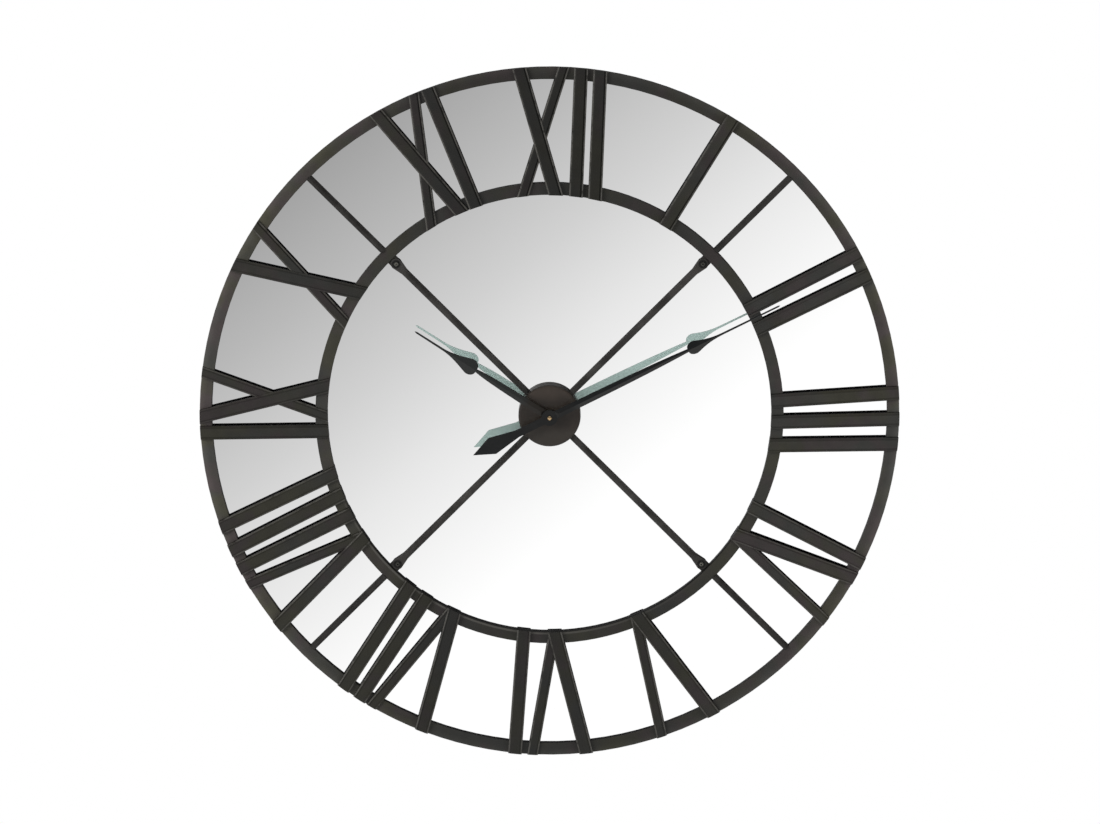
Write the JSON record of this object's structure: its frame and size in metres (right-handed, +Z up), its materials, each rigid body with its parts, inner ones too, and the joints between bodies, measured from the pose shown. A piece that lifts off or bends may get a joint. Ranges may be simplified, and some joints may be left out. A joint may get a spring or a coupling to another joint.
{
  "type": "mirror clock",
  "caption": "Round wall clock with a mirror dial, iron rings, folded Roman numerals, spoked hub with a quartz movement and spade hands.",
  "frame": {"origin": "middle of the rear face, in the plane of the wall, on the axis of the hands", "axes": "+Y into the wall, so the dial faces -Y; +Z up through twelve; +X to the viewer's right, through three"},
  "size_m": [0.92, 0.0433, 0.92],
  "materials": {
    "antique_iron": "dark bronze antique paint on iron, rubbed pale along the edges",
    "hub_bronze": "satin dark bronze paint on spun steel",
    "hand_aluminium": "satin black on the front, bare aluminium behind",
    "mirror": "polished float-glass mirror, slightly green at the edge",
    "backing_board": "raw fibreboard",
    "zinc_steel": "zinc plated",
    "brass": "turned brass",
    "black_plastic": "fine-grained black moulding",
    "white_acetal": "natural moulded acetal",
    "battery_sleeve": "plain shrink sleeve with a metal end",
    "contact_spring": "nickel plated strip",
    "circuit_green": "solder-mask green",
    "copper_winding": "enamelled copper wire"
  },
  "bodies": {
    "root": {"back_board": "backing_board", "mirror_glass": "mirror", "rim_band": "antique_iron", "board_screws": "zinc_steel", "hanger_plate": "zinc_steel", "hanger_screws": "zinc_steel", "outer_ring": "antique_iron", "inner_ring": "antique_iron", "ring_rod_1": "antique_iron", "ring_rod_2": "antique_iron", "ring_rod_3": "antique_iron", "ring_rod_4": "antique_iron", "numeral_1": "antique_iron", "numeral_2": "antique_iron", "numeral_3": "antique_iron", "numeral_4": "antique_iron", "numeral_5": "antique_iron", "numeral_6": "antique_iron", "numeral_7": "antique_iron", "numeral_8": "antique_iron", "numeral_9": "antique_iron", "numeral_10": "antique_iron", "numeral_11": "antique_iron", "numeral_12": "antique_iron", "thin_leg_4": "antique_iron", "thin_leg_5": "antique_iron", "thin_leg_6": "antique_iron", "thin_leg_7": "antique_iron", "thin_leg_8": "antique_iron", "thin_leg_9": "antique_iron", "thin_leg_10": "antique_iron", "thin_leg_11": "antique_iron", "thin_leg_12": "antique_iron", "spoke_1": "antique_iron", "spoke_2": "antique_iron", "spoke_3": "antique_iron", "spoke_4": "antique_iron", "spoke_screws": "antique_iron", "hub_cup": "hub_bronze", "movement_case": "black_plastic", "movement_cover": "black_plastic", "battery": "battery_sleeve", "contact_plus": "contact_spring", "contact_minus": "contact_spring", "circuit_board": "circuit_green", "stator_yoke": "contact_spring", "motor_coil": "copper_winding", "motor_block": "black_plastic", "bushing": "brass", "washer": "zinc_steel", "hex_nut": "brass"},
    "minute": {"minute_arbor": "zinc_steel", "center_wheel": "white_acetal", "minute_hand": "hand_aluminium", "cap_nut": "brass"},
    "hour": {"hour_wheel": "brass", "hour_hand": "hand_aluminium"},
    "motion": {"motion_wheel": "white_acetal"},
    "setter": {"set_knob": "white_acetal"},
    "drive": {"output_pinion": "white_acetal"}
  },
  "joints": [
    {"name": "minute_turn", "type": "hinge", "parent": "root", "child": "minute", "pos_m": [0, 0, 0], "axis": [0, 1, 0], "continuous": true},
    {"name": "hour_turn", "type": "hinge", "parent": "root", "child": "hour", "pos_m": [0, 0, 0], "axis": [0, 1, 0], "continuous": true},
    {"name": "motion_turn", "type": "hinge", "parent": "root", "child": "motion", "pos_m": [0.004, 0, 0.00693], "axis": [0, 1, 0], "continuous": true},
    {"name": "set_turn", "type": "hinge", "parent": "root", "child": "setter", "pos_m": [0.01179, 0, 0.01143], "axis": [0, 1, 0], "continuous": true},
    {"name": "drive_turn", "type": "hinge", "parent": "root", "child": "drive", "pos_m": [-0.00883, 0, 0.0051], "axis": [0, 1, 0], "continuous": true}
  ],
  "couplings": [
    {"joint": "hour_turn", "follows": "minute_turn", "ratio": 0.083333},
    {"joint": "motion_turn", "follows": "minute_turn", "ratio": -0.33333},
    {"joint": "set_turn", "follows": "minute_turn", "ratio": 0.66667},
    {"joint": "drive_turn", "follows": "minute_turn", "ratio": -7.5}
  ]
}
